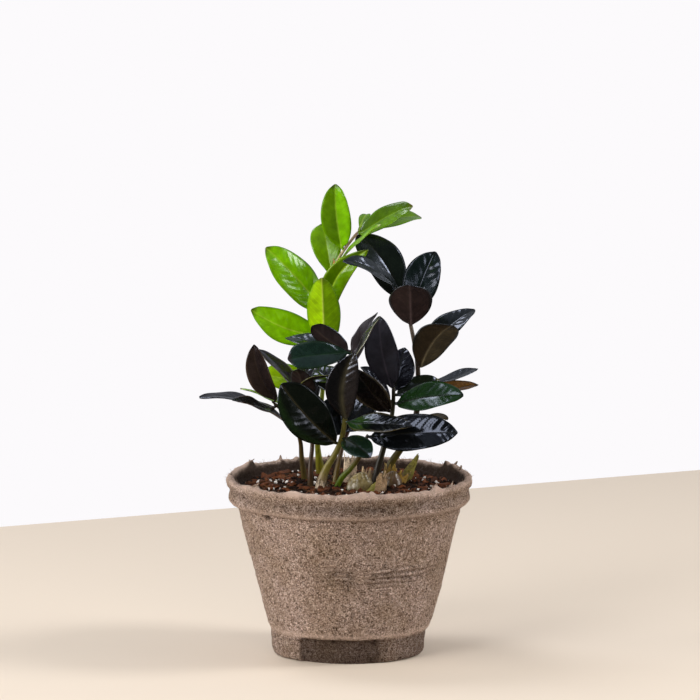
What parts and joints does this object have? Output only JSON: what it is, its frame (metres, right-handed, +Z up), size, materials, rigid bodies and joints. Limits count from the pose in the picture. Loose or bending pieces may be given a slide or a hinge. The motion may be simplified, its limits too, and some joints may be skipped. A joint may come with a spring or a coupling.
{
  "type": "potted zz plant",
  "caption": "Young ZZ plant with dark glossy leaflets and one lime-green stalk, rooted in potting mix in a round moulded-fibre pot.",
  "frame": {"origin": "centre of the pot's underside, on the surface it stands on", "axes": "+Z up, +X to the right as seen from the front, +Y to the back; the front of the plant faces -Y"},
  "size_m": [0.173, 0.1532, 0.292],
  "materials": {
    "pot_fibre": "rough grey-brown moulded fibre with a ragged rim",
    "potting_mix": "dark moist bark and peat with white perlite",
    "lime_leaf": "waxy gloss, young lime green",
    "dark_leaf": "waxy gloss, near-black green and purple",
    "lime_stem": "satin, yellow-green to pinkish beige",
    "dark_stem": "satin, olive mottled with brown",
    "tuber_skin": "smooth pale olive skin",
    "dry_sheath": "dry papery yellow-olive"
  },
  "bodies": {
    "root": {"pot": "pot_fibre", "potting_mix": "potting_mix", "front_tuber": "tuber_skin", "right_tuber": "tuber_skin", "dry_sheath": "dry_sheath", "lime_stalk": "lime_stem", "lime_leaflet_1": "lime_leaf", "lime_leaflet_2": "lime_leaf", "lime_leaflet_3": "lime_leaf", "lime_leaflet_4": "lime_leaf", "lime_leaflet_5": "lime_leaf", "lime_leaflet_6": "lime_leaf", "lime_leaflet_7": "lime_leaf", "lime_leaflet_8": "lime_leaf", "lime_leaflet_9": "lime_leaf", "lime_leaflet_10": "lime_leaf", "lime_leaflet_11": "lime_leaf", "left_stalk": "dark_stem", "left_leaflet_1": "dark_leaf", "left_leaflet_2": "dark_leaf", "left_leaflet_3": "dark_leaf", "back_stalk": "dark_stem", "back_leaflet_1": "dark_leaf", "back_leaflet_2": "dark_leaf", "back_leaflet_3": "dark_leaf", "back_leaflet_4": "dark_leaf", "front_stalk": "dark_stem", "front_leaflet_1": "dark_leaf", "front_leaflet_2": "dark_leaf", "front_leaflet_3": "dark_leaf", "front_leaflet_4": "dark_leaf", "front_leaflet_5": "dark_leaf", "front_leaflet_6": "dark_leaf", "front_leaflet_7": "dark_leaf", "front_leaflet_8": "dark_leaf", "front_leaflet_9": "dark_leaf", "front_leaflet_10": "dark_leaf", "front_leaflet_11": "dark_leaf", "middle_stalk": "dark_stem", "middle_leaflet_1": "dark_leaf", "middle_leaflet_2": "dark_leaf", "low_stalk": "dark_stem", "low_leaflet_1": "dark_leaf", "centre_stalk": "dark_stem", "centre_leaflet_1": "dark_leaf", "centre_leaflet_2": "dark_leaf", "centre_leaflet_3": "dark_leaf", "centre_leaflet_4": "dark_leaf", "centre_leaflet_5": "dark_leaf", "centre_leaflet_6": "dark_leaf", "right_stalk": "dark_stem", "right_leaflet_1": "dark_leaf", "right_leaflet_2": "dark_leaf", "right_leaflet_3": "dark_leaf", "right_leaflet_4": "dark_leaf", "right_leaflet_5": "dark_leaf", "right_leaflet_6": "dark_leaf", "right_leaflet_7": "dark_leaf", "right_leaflet_8": "dark_leaf", "right_leaflet_9": "dark_leaf"}
  },
  "joints": []
}
